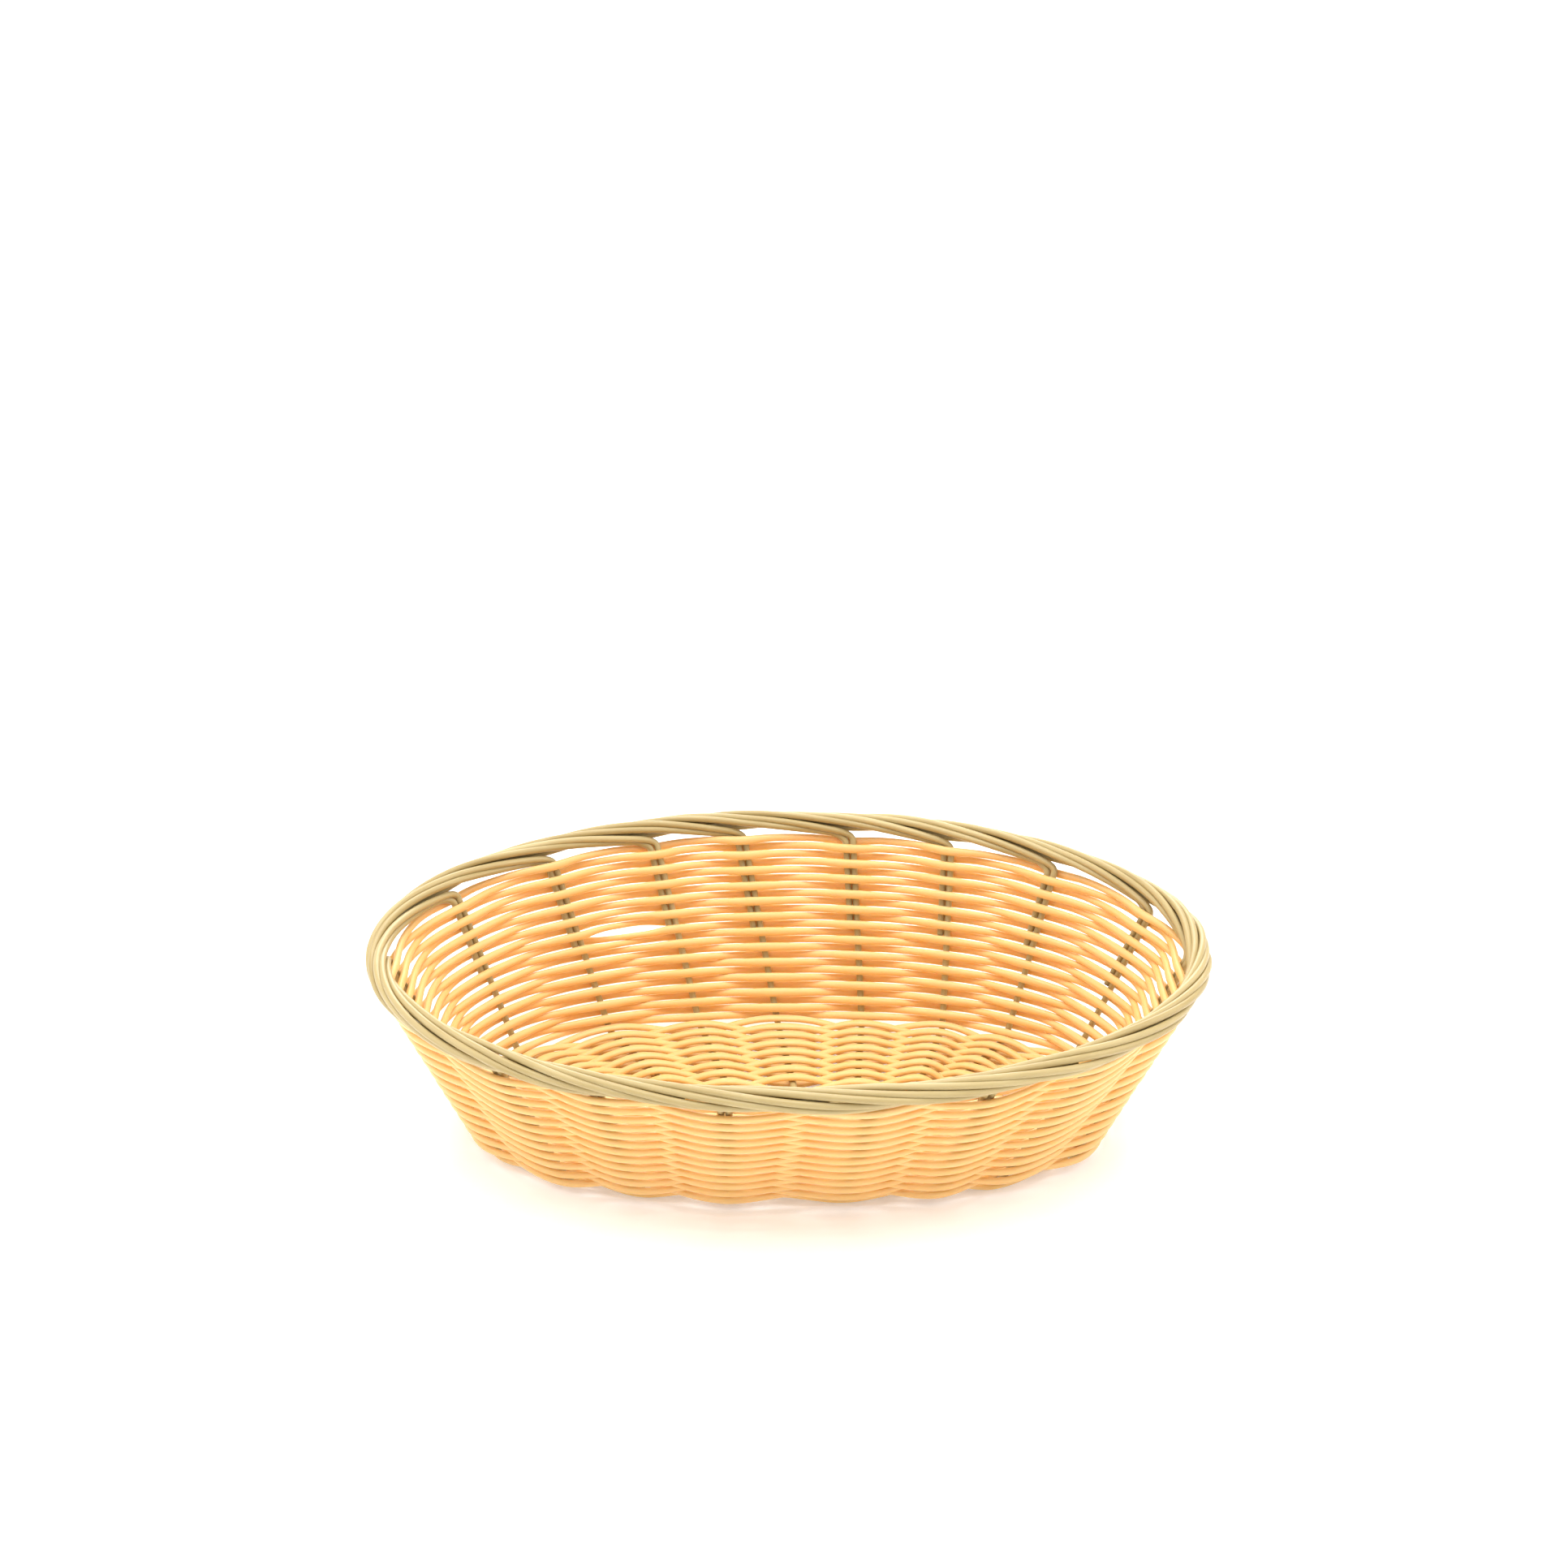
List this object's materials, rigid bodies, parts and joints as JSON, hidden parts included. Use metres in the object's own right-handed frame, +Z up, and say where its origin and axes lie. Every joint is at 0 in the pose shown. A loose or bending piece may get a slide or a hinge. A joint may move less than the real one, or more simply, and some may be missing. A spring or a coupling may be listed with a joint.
{
  "type": "bread basket",
  "caption": "Oval hand-woven basket for bread, with a flat floor, a flared wall and a rolled border of paired rods.",
  "frame": {"origin": "middle of the footprint, on the surface the basket stands on", "axes": "+X along the basket, +Y towards its back, +Z up"},
  "size_m": [0.2286, 0.1527, 0.058],
  "materials": {
    "weaver": "satin, warm honey",
    "rod": "satin, pale straw"
  },
  "bodies": {
    "root": {"floor_row_01": "weaver", "floor_row_02": "weaver", "floor_row_03": "weaver", "floor_row_04": "weaver", "floor_row_05": "weaver", "floor_row_06": "weaver", "floor_row_07": "weaver", "floor_row_08": "weaver", "floor_row_09": "weaver", "floor_row_10": "weaver", "floor_row_11": "weaver", "floor_row_12": "weaver", "floor_row_13": "weaver", "floor_row_14": "weaver", "floor_row_15": "weaver", "floor_row_16": "weaver", "wall_row_01": "weaver", "wall_row_02": "weaver", "wall_row_03": "weaver", "wall_row_04": "weaver", "wall_row_05": "weaver", "wall_row_06": "weaver", "wall_row_07": "weaver", "wall_row_08": "weaver", "wall_row_09": "weaver", "wall_row_10": "weaver", "wall_row_11": "weaver", "wall_row_12": "weaver", "wall_row_13": "weaver", "wall_row_14": "weaver", "wall_row_15": "weaver", "wall_row_16": "weaver", "wall_row_17": "weaver", "wall_row_18": "weaver", "wall_row_19": "weaver", "wall_row_20": "weaver", "wall_row_21": "weaver", "wall_row_22": "weaver", "wall_row_23": "weaver", "wall_row_24": "weaver", "cross_stake_1": "rod", "cross_stake_2": "rod", "cross_stake_3": "rod", "cross_stake_4": "rod", "cross_stake_5": "rod", "long_stake_1": "rod", "long_stake_2": "rod", "long_stake_3": "rod", "long_stake_4": "rod", "bye_stakes_back": "rod", "bye_stakes_front": "rod", "bye_stakes_right": "rod", "bye_stakes_left": "rod"}
  },
  "joints": []
}
